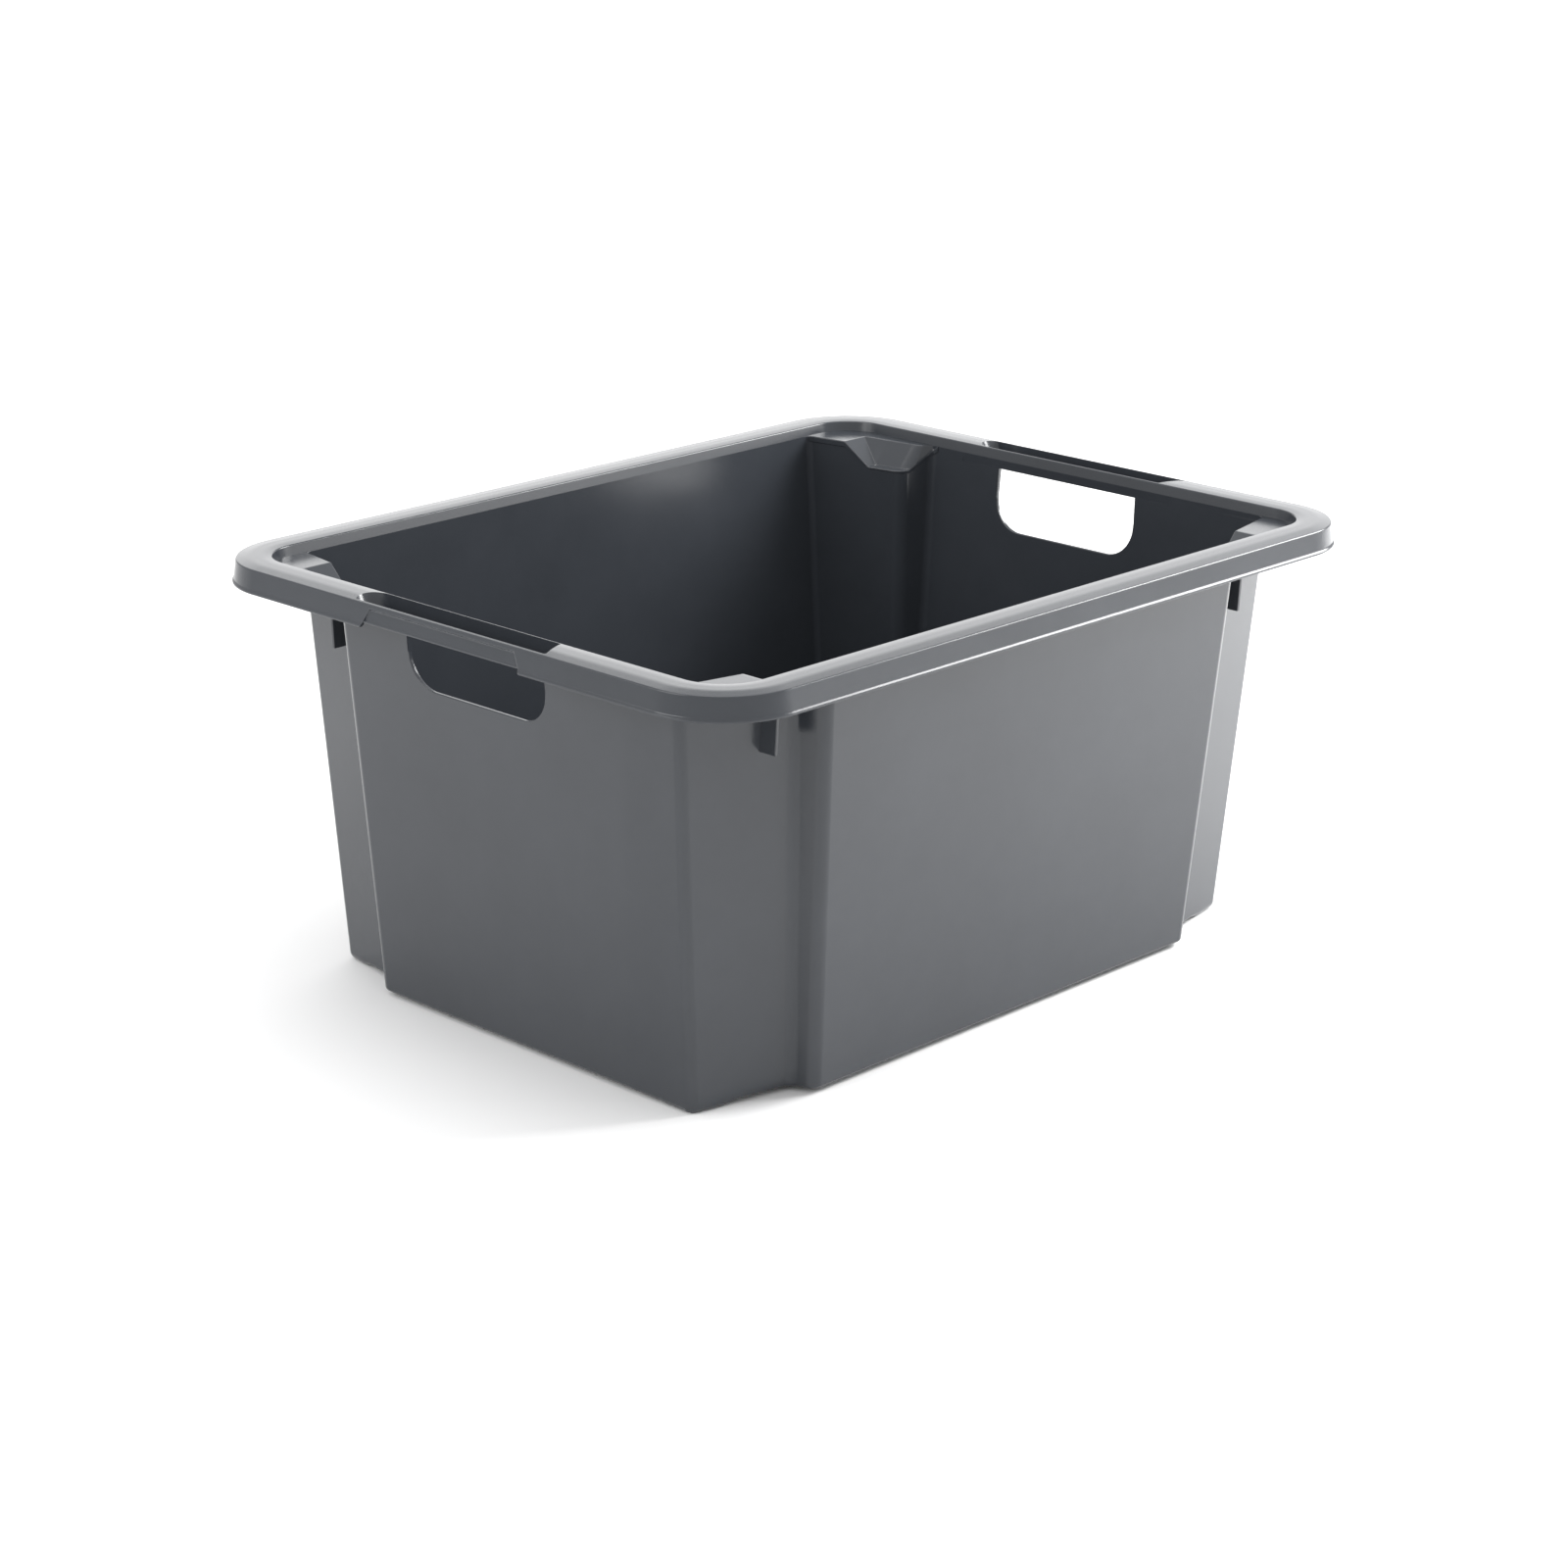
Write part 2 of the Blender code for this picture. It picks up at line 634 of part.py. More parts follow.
def seat_stations(side):
    """The seat's stations as (edge on the crate's inside, edge at the band, depth of the notch)."""
    first, last = seat_range(side)
    depths = [seat_depth(side, k) for k in range(first, last + 1)]
    line = [wall_point(side, first + k, SEAT_TOP_Z - NOTCH_DEPTH * d) for k, d in enumerate(depths)]
    next_side = "end" if side == "front" else "back"
    for k in range(1, ARC_STEPS + 1):
        line.append(wall_point(next_side, k, SEAT_TOP_Z))
        depths.append(0.0)
    normals = inward_normals(line)
    edge = [Vector((p.x, p.y)) + n.xy * (WALL - GAP) for p, n in zip(line, normals)]
    straight = len(edge) - 2 * ARC_STEPS
    outer = [band_point(p, side) for p in edge[:straight]]
    end = Vector((SEAT_HALF_X, edge[-1].y)) if side == "front" else Vector((edge[-1].x, SEAT_HALF_Y))
    outer += corner_sweep(outer[-1], end, side, len(edge) - straight)
    return [(p, q, depth) for p, q, depth in zip(edge, outer, depths) if has_room(p)]


def has_room(spot):
    """Whether the seat is wide enough at a spot on its inner edge."""
    return min(SEAT_HALF_X - spot.x, SEAT_HALF_Y - abs(spot.y)) > SEAT_LEAST_SPAN


def stacking_seat(name, side, sign, parts):
    """Ledge over a corner post with a sloping notch that takes the foot of the crate above."""
    lines = ((0.0, 0.0, 1.0), (FLOOR_SHARE, NOTCH_FLOOR, 1.0))
    lines += ((SLOPE_SHARE, NOTCH_BACK, 0.0), (1.0, 1.0, 0.0))
    rows = []
    for share, reach, cut in lines:
        row = []
        for p, q, depth in seat_stations(side):
            spot = p.lerp(q, min(share, reach / (q - p).length))
            row.append(Vector((spot.x, spot.y, SEAT_TOP_Z - NOTCH_DEPTH * depth * cut)))
        rows.append(row)
    if sign < 0:
        rows = mirrored(rows)
    bm = bmesh.new()
    add_rows(bm, rows)
    pushed = bmesh.ops.extrude_face_region(bm, geom=list(bm.faces))
    moved = [item for item in pushed["geom"] if isinstance(item, bmesh.types.BMVert)]
    bmesh.ops.translate(bm, vec=Vector((0.0, 0.0, -SEAT_THICKNESS)), verts=moved)
    obj = solid_object(name, bm, parts)
    obj.data.materials.append(plastic(name))
    return obj


# ---------------------------------------------------------------- ribs

def rib(name, side, sign, parts):
    """Upright gusset in a recess, under the seat's notch."""
    out = -1.0 if side == "front" else 1.0
    low = recess_face(side, RIB_BOTTOM_Z) + 2 * GAP * out
    high = recess_face(side, RIB_TOP_Z) + 2 * GAP * out
    profile = [(low, RIB_BOTTOM_Z), (low + RIB_REACH * out, RIB_BOTTOM_Z)]
    profile += [(high + RIB_REACH * out, RIB_OUTER_TOP_Z)]
    profile += [(high + (NOTCH_FLOOR - WALL) * out, RIB_TOP_Z), (high, RIB_TOP_Z)]
    half = RIB_THICKNESS / 2
    if side == "front":
        points = [Vector((sign * (FRONT_RIB_X - half), y, z)) for y, z in profile]
        push = Vector((sign * RIB_THICKNESS, 0.0, 0.0))
    else:
        points = [Vector((sign * x, BACK_RIB_Y - half, z)) for x, z in profile]
        push = Vector((0.0, RIB_THICKNESS, 0.0))
    obj = prism(name, points, push, parts)
    obj.data.materials.append(plastic(name))
    return obj


def recess_face(side, z):
    """The recess's outer surface beside its rib, at height z: a y on the front, an x on an end."""
    half = RIB_THICKNESS / 2
    level = z / HEIGHT
    if side == "front":
        post = Vector((BASE_HALF_X, FRONT_POST_Y[0])).lerp(Vector((TOP_HALF_X, FRONT_POST_Y[1])), level)
        inset = (CREASE_Y[0] - FRONT_POST_Y[0]) * (1 - level) + (CREASE_Y[1] - FRONT_POST_Y[1]) * level
        post.x += inset * math.tan(STRIP_ANGLE)
        return -(post.y + (post.x - FRONT_RIB_X + half) * math.tan(FRONT_RECESS_ANGLE))
    post = Vector((BACK_POST_X[0], BASE_HALF_Y)).lerp(Vector((BACK_POST_X[1], TOP_HALF_Y)), level)
    return post.x + (post.y - BACK_RIB_Y + half) * math.tan(END_RECESS_ANGLE)


def build():
    clear_scene()
    parts = new_collection("stacking_crate")
    cutters = new_collection("cutters")
    base_panel(parts)
    front_wall(parts)
    back_wall(parts)
    rim_half("rim_front", band_path(HANDLE_FRONT_Y - GAP, -1.0), parts)
    rim_half("rim_back", band_path(HANDLE_BACK_Y + GAP, 1.0), parts)
    for label, sign in (("left", -1), ("right", 1)):
        end_wall(label + "_end_wall", sign, parts, cutters)
        handle(label + "_handle", sign, parts, cutters)
        stacking_seat("stacking_seat_front_" + label, "front", sign, parts)
        stacking_seat("stacking_seat_back_" + label, "end", sign, parts)
        rib("rib_front_" + label, "front", sign, parts)
        rib("rib_back_" + label, "end", sign, parts)


build()
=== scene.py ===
"""Looks of the stacking crate: one injection moulding in dark graphite plastic, on a pale floor.

Units are metres, +Z is up, and +X runs along the long side; the front long side faces -Y. Every
piece is a fine mesh of one moulded feature, in the place that its CAD nodes hold. The walls are
ruled surfaces between a plan at the base and a plan at the full height.
"""
import math

import bmesh
import bpy
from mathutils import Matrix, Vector
from mathutils.geometry import delaunay_2d_cdt


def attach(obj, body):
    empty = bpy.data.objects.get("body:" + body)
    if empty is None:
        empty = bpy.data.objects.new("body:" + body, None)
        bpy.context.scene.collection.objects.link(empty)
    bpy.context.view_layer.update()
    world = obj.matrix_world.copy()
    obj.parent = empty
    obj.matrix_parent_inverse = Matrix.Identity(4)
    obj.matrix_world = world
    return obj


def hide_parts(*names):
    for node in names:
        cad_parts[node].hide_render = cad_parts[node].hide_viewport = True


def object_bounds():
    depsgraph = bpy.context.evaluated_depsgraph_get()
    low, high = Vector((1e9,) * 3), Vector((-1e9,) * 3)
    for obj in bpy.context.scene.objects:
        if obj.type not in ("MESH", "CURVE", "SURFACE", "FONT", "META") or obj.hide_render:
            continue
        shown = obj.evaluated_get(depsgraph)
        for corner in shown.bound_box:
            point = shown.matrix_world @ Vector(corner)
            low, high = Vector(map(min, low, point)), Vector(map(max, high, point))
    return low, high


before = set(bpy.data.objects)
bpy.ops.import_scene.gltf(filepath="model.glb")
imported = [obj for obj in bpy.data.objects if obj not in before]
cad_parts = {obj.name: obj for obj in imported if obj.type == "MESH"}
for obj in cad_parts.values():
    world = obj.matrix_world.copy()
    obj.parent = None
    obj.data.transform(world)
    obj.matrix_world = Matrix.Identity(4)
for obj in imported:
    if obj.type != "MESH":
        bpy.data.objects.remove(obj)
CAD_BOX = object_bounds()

BODY = "root"
SIDES = (("left", -1), ("right", 1))

# Overall size, from the frame
HALF_LENGTH = CAD_BOX[1].x
HALF_WIDTH = CAD_BOX[1].y
HEIGHT = CAD_BOX[1].z
FLANGE = 0.0201            # how far the rim stands out from the wall
WALL = 0.0022              # wall thickness

# Plan of the walls at the base and at the full height
BASE_HALF_X, TOP_HALF_X = 0.2070, 0.2256
BASE_HALF_Y, TOP_HALF_Y = 0.1560, 0.1752
FRONT_STEP_X = (0.1400, 0.1510)      # where the front panel ends and its recess begins
FRONT_POST_Y = (0.1308, 0.1434)      # how far forward the front corner posts reach
END_STEP_Y = (0.0955, 0.0985)        # where the end panel ends and its recess begins
BACK_POST_X = (0.1858, 0.1921)       # how far out the back corner posts reach
CREASE_Y = (0.0850, 0.1070)          # soft crease on the end wall, beside the front post
CREASE_BLEND = 0.0040                # half the width over which the crease turns
CREASE_STEPS = 6
FRONT_RECESS_ANGLE = math.radians(12.3)
END_RECESS_ANGLE = math.radians(9.3)
STRIP_ANGLE = math.radians(2.0)      # the end wall turns in this much past its crease
STEP_WALL_ANGLE = math.radians(75.0)
STEP_RADIUS = 0.0070
POST_RADIUS = 0.0060
ARC_STEPS = 12

# Base edge and feet
EDGE_TOP_Z = 0.0045        # where the walls begin to round into the base
EDGE_INSET = 0.0040
EDGE_STEPS = 8
FOOT_DROP = 0.0020         # how far the feet stand below the base
FRONT_FOOT_RADIUS = 0.0260
BACK_FOOT_RADIUS = 0.0200
FOOT_BLEND = 0.0100
FOOT_RINGS = 6             # rings of points across a foot's soft step, less one
FOOT_RING_POINTS = 56
FOOT_CLEARANCE = 0.0012    # least distance between the foot's points and the base's edge

# Rim
BAND_LOW_Z = 0.2207        # lower edge of the rim's inner band, and the walls' top edge
BAND_BEND_Z = 0.2240       # where the inner band turns to slope out to the crown
RIM_CORNER_RADIUS = 0.0261
RIM_CORNER_STEPS = 28
BAND_HALF_X = HALF_LENGTH - FLANGE
BAND_HALF_Y = HALF_WIDTH - FLANGE
SKIRT_DROP = 0.0134        # height of the rim's skirt
SKIRT_LOW_Z = HEIGHT - SKIRT_DROP
FILLET_STEPS = 5

# Handles and hand holes
HANDLE_FRONT_Y = -0.0760
HANDLE_BACK_Y = 0.0785
HANDLE_BOTTOM_Z = 0.2190
GRIP_FRONT_Y = (-0.0555, -0.0508)   # where the skirt steps in over the grip, at its lower and upper edge
GRIP_BACK_Y = (0.0610, 0.0554)
GRIP_STEP = 0.0014         # width of that step
GRIP_SPACING = 0.0004      # distance between sections along the step
SKIRT_SPACING = 0.0005     # distance between points down the skirt
GRIP_TOP_Z = 0.2270        # upper edge of the stepped-in skirt
SKIRT_INSET = 0.0012
SKIRT_START = FLANGE - 0.0035        # the section's points farther out than this are the skirt's
TROUGH_FLOOR_Z = 0.2212
TROUGH_INNER, TROUGH_OUTER = 0.0002, 0.0160
TROUGH_FRONT = (-0.0650, -0.0715)   # y of the slanted front end, at the inner and outer edges
TROUGH_BACK = (0.0760, 0.0694)      # y of the rounded back end, at the inner and outer edges
TROUGH_BACK_DRAFT = 0.0040          # how much shorter the trough is at its floor
TROUGH_FRONT_RADII = (0.0015, 0.0010)
TROUGH_BACK_RADII = (0.0090, 0.0025)
CUT_ABOVE = 0.0100         # how far a cutter that is open upwards reaches past the rim
HOLE_CUT_X = (0.2000, 0.2500)       # from where to where the hand hole's cutter reaches
HOLE_HALF_WIDTH = 0.0505
HOLE_BOTTOM_Z = 0.1839
HOLE_RADIUS = 0.0180
HOLE_EDGE_ROUND = 0.0006
HOLE_EDGE_SLACK = 0.0005

# Stacking seats
SEAT_TOP_Z = 0.2243        # the seats' ledges
SEAT_THICKNESS = 0.0022
SEAT_TUCK = 0.0011         # how far a seat's outer edge stays inside the band's outer face
LIP_REACH = 0.0005         # how far a seat's lip stands in from the wall
LIP_HEIGHT = (0.0036, 0.0012)        # height of the lip on the ledge and in the notch
LIP_ROUND = 0.0006
SEAT_BURIED = 0.0012       # how far the seat's front goes into the wall
SEAT_FOOT_EXTRA = 0.0002   # how far it reaches below the seat's underside
CREASE_BEVEL = 0.0003      # half the width of the bevel along a seat's creases
NOTCH_DEPTH = 0.0128
NOTCH_FLOOR = 0.0060       # width of the notch's flat floor
NOTCH_BACK = 0.0170        # distance from the front edge to the top of the notch's back slope
FLOOR_SHARE, SLOPE_SHARE = 0.3, 0.7   # the most of a narrow seat that floor and slope may take
NARROW_FLOOR = 0.0020      # creases get finer where the floor is narrower than this
FRONT_LEDGE, FRONT_SLOPE = 0.0330, 0.0155
BACK_LEDGE, BACK_SLOPE = 0.0230, 0.0160
LEDGE_STEPS = 14           # stations along a ledge, close enough to follow the rim's rounded corner

# Ribs below the seats
RIB_THICKNESS = 0.0020
RIB_BOTTOM_Z = 0.1840
RIB_TOP_Z = (0.2110, 0.2135)         # at the wall and at the rib's outer edge
RIB_REACH = 0.0101
FRONT_RIB_X = 0.1765
BACK_RIB_Y = 0.1300
RIB_EDGE_ROUND = 0.0004
RIB_BURIED = 0.0010        # how far a rib goes into the wall

SHARP_ANGLE = math.radians(40.0)
MERGE_DISTANCE = 0.00005
ROUND_SEGMENTS = 3

# Colours and studio
GRAPHITE = (0.036, 0.040, 0.047)
GRAPHITE_SPREAD = 0.07     # how much darker and lighter the flow marks are
GRAPHITE_ROUGHNESS = (0.16, 0.22)
FLOOR_COLOUR = (0.90, 0.90, 0.90)
FLOOR_HALF = 6.0
WORLD_COLOUR = (1.0, 1.0, 1.0)
WORLD_STRENGTH = 0.92
MIDDLE = (0.0, 0.0, 0.12)
SOFTBOXES = (              # name, place, target, size, power in watts
    ("right_softbox", (1.3, -0.65, 0.9), (0.9, -0.40, 0.0), (0.9, 0.9), 46.0),
    ("low_softbox", (2.4, -2.3, 0.45), MIDDLE, (1.8, 0.8), 12.0),
    ("left_softbox", (-1.3, 0.4, 0.8), MIDDLE, (0.9, 0.7), 7.0),
    ("back_softbox", (3.3, 3.2, 1.4), MIDDLE, (5.5, 2.2), 46.0),
    ("top_softbox", (0.0, 0.2, 2.0), MIDDLE, (1.5, 1.5), 14.0),
)
CAMERA_PLACE = Vector((-1.3402, -1.3043, 0.7131))
CAMERA_YAW = math.radians(45.62)
CAMERA_PITCH = math.radians(-18.40)
CAMERA_LENS = 83.77


# ---------------------------------------------------------------- plan of the walls

def heading(angle):
    return Vector((math.cos(angle), math.sin(angle)))


def arc(start, angle_in, angle_out, radius, steps=ARC_STEPS):
    """Points of an arc from `start`, whose direction of travel turns from one angle to the other."""
    side = 1.0 if angle_out > angle_in else -1.0
    centre = start + side * radius * heading(angle_in + math.pi / 2)
    turn = angle_out - angle_in
    angles = [angle_in + turn * k / steps for k in range(steps + 1)]
    return [centre - side * radius * heading(angle + math.pi / 2) for angle in angles]


def step_runs(start, along, recess_angle, recess_depth):
    """S-shaped step from a panel's end into its recess: the way down, and the hollow fillet."""
    theta = STEP_WALL_ANGLE
    radius = STEP_RADIUS
    rise = radius * (1 - math.cos(theta)) + radius * (math.cos(recess_angle) - math.cos(theta))
    run = radius * math.sin(theta) + radius * (math.sin(theta) - math.sin(recess_angle))
    slope = math.tan(recess_angle)
    flat = (recess_depth - rise + slope * run) / (math.sin(theta) - slope * math.cos(theta))
    convex = arc(start, along, along + theta, radius)
    wall_end = convex[-1] + flat * heading(along + theta)
    return convex + [wall_end], arc(wall_end, along + theta, along + recess_angle, radius)


def corner_arc(corner, angle_in, angle_out):
    tangent = POST_RADIUS * math.tan((angle_out - angle_in) / 2)
    start = corner - tangent * heading(angle_in)
    return arc(start, angle_in, angle_out, POST_RADIUS, 2 * ARC_STEPS)


def recess_runs(side, hollow, post, ledge, slope):
    """Runs of a recess from its hollow fillet to its post: notch floor, slope, ledge and corner."""
    reach = (hollow[-1] - post[0]).length
    back = (hollow[-1] - post[0]) / reach
    slope_foot = post[0] + min(ledge + slope, reach - 0.001) * back
    slope_top = post[0] + ledge * back
    shelf = [slope_top.lerp(post[0], k / LEDGE_STEPS) for k in range(LEDGE_STEPS + 1)]
    return [(side + "_notch", hollow + [slope_foot]), (side + "_slope", [slope_foot, slope_top]),
            (side + "_ledge", shelf), (side + "_post", post)]


def plan_runs(level):
    """Half outline (x >= 0) at one level as named runs: 0 is the base and 1 is the full height."""
    half_x = (BASE_HALF_X, TOP_HALF_X)[level]
    half_y = (BASE_HALF_Y, TOP_HALF_Y)[level]
    step_x, post_y = FRONT_STEP_X[level], FRONT_POST_Y[level]
    step_y, post_x = END_STEP_Y[level], BACK_POST_X[level]
    crease_y = CREASE_Y[level]
    upright = math.pi / 2

    front_post = Vector((half_x + (crease_y - post_y) * math.tan(STRIP_ANGLE), -post_y))
    depth = half_y - post_y - (front_post.x - step_x) * math.tan(FRONT_RECESS_ANGLE)
    front_rise, front_hollow = step_runs(Vector((step_x, -half_y)), 0.0, FRONT_RECESS_ANGLE, depth)
    front_corner = corner_arc(front_post, FRONT_RECESS_ANGLE, upright - STRIP_ANGLE)

    back_post = Vector((post_x, half_y))
    depth = half_x - post_x - (half_y - step_y) * math.tan(END_RECESS_ANGLE)
    end_rise, end_hollow = step_runs(Vector((half_x, step_y)), upright, END_RECESS_ANGLE, depth)
    back_corner = corner_arc(back_post, upright + END_RECESS_ANGLE, math.pi)

    crease = Vector((half_x, -crease_y))
    before = crease - CREASE_BLEND * heading(upright - STRIP_ANGLE)
    crease_curve = arc(before, upright - STRIP_ANGLE, upright, CREASE_BLEND / STRIP_ANGLE, CREASE_STEPS)

    runs = [("front_panel", [Vector((0.0, -half_y)), front_rise[0]]), ("front_rise", front_rise)]
    runs += recess_runs("front", front_hollow, front_corner, FRONT_LEDGE, FRONT_SLOPE)
    runs += [("strip", [front_corner[-1], crease_curve[0]]), ("crease", crease_curve)]
    runs += [("end_panel", [crease_curve[-1], end_rise[0]]), ("end_rise", end_rise)]
    runs += recess_runs("end", end_hollow, back_corner, BACK_LEDGE, BACK_SLOPE)
    runs.append(("back_panel", [back_corner[-1], Vector((0.0, half_y))]))
    return runs


class Station:
    """One upright line of the wall's outer surface, with how deep the seat's notch is there."""

    def __init__(self, run, low, high, depth):
        self.run = run
        self.low = low
        self.high = high
        self.depth = depth

    def at(self, z):
        spot = self.low.lerp(self.high, z / HEIGHT)
        return Vector((spot.x, spot.y, z))

    def seated(self):
        return self.depth is not None

    def seat_z(self):
        return SEAT_TOP_Z - NOTCH_DEPTH * (self.depth or 0.0)


def run_depth(kind, t):
    """Depth of the seat's notch at share t of a run, or None where no seat lies on the wall."""
    if kind == "rise":
        return t
    if kind == "notch":
        return 1.0
    if kind == "slope":
        return 1.0 - t
    return 0.0 if kind in ("ledge", "post") else None


def run_places(kind, highs):
    """Places along a run as (segment, share of segment, share of run), with a bevel at each crease."""
    lengths = [(b - a).length for a, b in zip(highs, highs[1:])]
    total = sum(lengths)
    creased_start = kind in ("notch", "slope", "ledge")
    creased_end = kind in ("rise", "notch", "slope")
    places = []
    travelled = 0.0
    for k, length in enumerate(lengths):
        if k > 0 or not creased_start:
            places.append((k, 0.0, travelled / total))
        travelled += length
    if creased_start:
        places.insert(0, (0, CREASE_BEVEL / lengths[0], CREASE_BEVEL / total))
    if creased_end:
        places.append((len(lengths) - 1, 1 - CREASE_BEVEL / lengths[-1], 1 - CREASE_BEVEL / total))
    return places


def make_stations():
    """Stations of the half outline, from the front's middle to the back's middle."""
    stations = []
    for (run, lows), (_, highs) in zip(plan_runs(0), plan_runs(1)):
        kind = run.split("_")[-1]
        for k, share, along in run_places(kind, highs):
            low = lows[k].lerp(lows[k + 1], share)
            high = highs[k].lerp(highs[k + 1], share)
            stations.append(Station(run, low, high, run_depth(kind, along)))
    stations.append(Station(run, lows[-1], highs[-1], None))
    return stations


def inward_normals(points):
    """Horizontal unit normals to the left of a row of points, which is the crate's inside."""
    normals = []
    for k in range(len(points)):
        ahead = points[min(k + 1, len(points) - 1)]
        behind = points[max(k - 1, 0)]
        along = (ahead - behind).normalized()
        normals.append(Vector((-along.y, along.x, 0.0)))
    return normals


STATIONS = make_stations()


# ---------------------------------------------------------------- mesh helpers

def new_object(name, bm):
    mesh = bpy.data.meshes.new(name)
    bm.to_mesh(mesh)
    bm.free()
    obj = bpy.data.objects.new(name, mesh)
    bpy.context.scene.collection.objects.link(obj)
    return obj


def add_rows(bm, rows):
    """Quads between successive rows of points; returns the vertices row by row."""
    grid = [[bm.verts.new(point) for point in row] for row in rows]
    for upper, lower in zip(grid, grid[1:]):
        for k in range(len(upper) - 1):
            bm.faces.new((upper[k], upper[k + 1], lower[k + 1], lower[k]))
    return grid


def loft(name, sections):
    """A closed solid through closed sections, with its two ends capped."""
    bm = bmesh.new()
    rings = [[bm.verts.new(point) for point in section] for section in sections]
    for ring, following in zip(rings, rings[1:]):
        for k in range(len(ring)):
            j = (k + 1) % len(ring)
            bm.faces.new((ring[k], ring[j], following[j], following[k]))
    bm.faces.new(list(reversed(rings[0])))
    bm.faces.new(rings[-1])
    bmesh.ops.recalc_face_normals(bm, faces=bm.faces)
    return new_object(name, bm)


def bake(obj):
    """Replaces an object's mesh by the result of its modifiers."""
    graph = bpy.context.evaluated_depsgraph_get()
    mesh = bpy.data.meshes.new_from_object(obj.evaluated_get(graph))
    obj.modifiers.clear()
    obj.data = mesh


def cut(obj, cutter):
    """Takes the cutter's solid out of an object, and removes the cutter."""
    boolean = obj.modifiers.new("Cut", "BOOLEAN")
    boolean.operation = "DIFFERENCE"
    boolean.solver = "EXACT"
    boolean.object = cutter
    bake(obj)
    bpy.data.objects.remove(cutter)


def round_edges(obj, chosen, width):
    """Rounds an object's sharp edges whose two ends both pass the test `chosen`."""
    bm = bmesh.new()
    bm.from_mesh(obj.data)
    edges = []
    for edge in bm.edges:
        sharp = len(edge.link_faces) == 2 and edge.calc_face_angle() > SHARP_ANGLE
        if sharp and all(chosen(v.co) for v in edge.verts):
            edges.append(edge)
    bmesh.ops.bevel(bm, geom=edges, offset=width, segments=ROUND_SEGMENTS, profile=0.5,
                    affect="EDGES", clamp_overlap=True)
    bm.to_mesh(obj.data)
    bm.free()


def finish_piece(obj, material, *nodes):
    """Shading, material and place in the frame of one piece that stands for some CAD nodes."""
    mesh = obj.data
    mesh.shade_smooth()
    mesh.set_sharp_from_angle(angle=SHARP_ANGLE)
    weighted = obj.modifiers.new("Weighted normals", "WEIGHTED_NORMAL")
    weighted.keep_sharp = True
    mesh.materials.clear()
    mesh.materials.append(material)
    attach(obj, BODY)
    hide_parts(*nodes)


def filleted(corners, steps=FILLET_STEPS):
    """Closed outline from corners (a, b, radius), each rounded by its own radius."""
    outline = []
    count = len(corners)
    for k, (a, b, radius) in enumerate(corners):
        here = Vector((a, b))
        if radius == 0:
            outline.append(here)
            continue
        before = Vector(corners[k - 1][:2]) - here
        after = Vector(corners[(k + 1) % count][:2]) - here
        half = before.angle(after) / 2
        reach = radius / math.tan(half)
        centre = here + (before.normalized() + after.normalized()).normalized() * radius / math.sin(half)
        start = here + before.normalized() * reach - centre
        end = here + after.normalized() * reach - centre
        sweep = start.angle_signed(end)
        for j in range(steps + 1):
            turn = -sweep * j / steps
            spot = Vector((start.x * math.cos(turn) - start.y * math.sin(turn),
                           start.x * math.sin(turn) + start.y * math.cos(turn)))
            outline.append(centre + spot)
    return outline


# ---------------------------------------------------------------- shell: walls and base

def smooth(t):
    t = min(max(t, 0.0), 1.0)
    return t * t * (3 - 2 * t)


def feet():
    """Centre and radius of the right-hand feet."""
    front = Vector((BASE_HALF_X, -FRONT_POST_Y[0]))
    back = Vector((BACK_POST_X[0], BASE_HALF_Y))
    return ((front, FRONT_FOOT_RADIUS), (back, BACK_FOOT_RADIUS))


def underside_z(x, y):
    """Height of the underside: 0 on a foot, FOOT_DROP away from the feet, with a soft step."""
    weight = 0.0
    for corner, radius in feet():
        distance = (Vector((abs(x), y)) - corner).length
        weight = max(weight, 1 - smooth((distance - radius + FOOT_BLEND / 2) / FOOT_BLEND))
    return FOOT_DROP * (1 - weight)


def wall_top(index):
    """Height of the wall's top edge: full height, or the underside of the seat that lies on it."""
    station = STATIONS[index]
    begins = station.seated() and not STATIONS[index - 1].seated()
    if begins or not station.seated():
        return BAND_LOW_Z
    return station.seat_z() - SEAT_THICKNESS


def edge_ring(turn):
    """One ring of the rounded edge between walls and base: turn 0 is its top and 1 its underside."""
    angle = (1 - turn) * math.pi / 2
    edge = [station.at(EDGE_TOP_Z) for station in STATIONS]
    ring = []
    for point, normal in zip(edge, inward_normals(edge)):
        spot = point + normal * EDGE_INSET * (1 - math.sin(angle))
        low = underside_z(spot.x, spot.y)
        spot.z = low + (EDGE_TOP_Z - low) * (1 - math.cos(angle))
        ring.append(spot)
    ring[0].x = 0.0
    ring[-1].x = 0.0
    return ring


def inside(border, spot):
    """Even-odd test of a spot against a closed border."""
    result = False
    for a, b in zip(border, border[1:] + border[:1]):
        if (a.y > spot.y) != (b.y > spot.y):
            if spot.x < a.x + (b.x - a.x) * (spot.y - a.y) / (b.y - a.y):
                result = not result
    return result


def foot_points(border):
    """Points on circles round each foot, inside the border, that carry its soft step."""
    points = []
    for centre, radius in feet():
        for ring in range(FOOT_RINGS + 1):
            distance = radius + FOOT_BLEND * (ring / FOOT_RINGS - 0.5)
            for k in range(FOOT_RING_POINTS):
                spot = centre + distance * heading(2 * math.pi * k / FOOT_RING_POINTS)
                near = min((spot - b).length for b in border)
                if inside(border, spot) and near > FOOT_CLEARANCE:
                    points.append(spot)
    return points


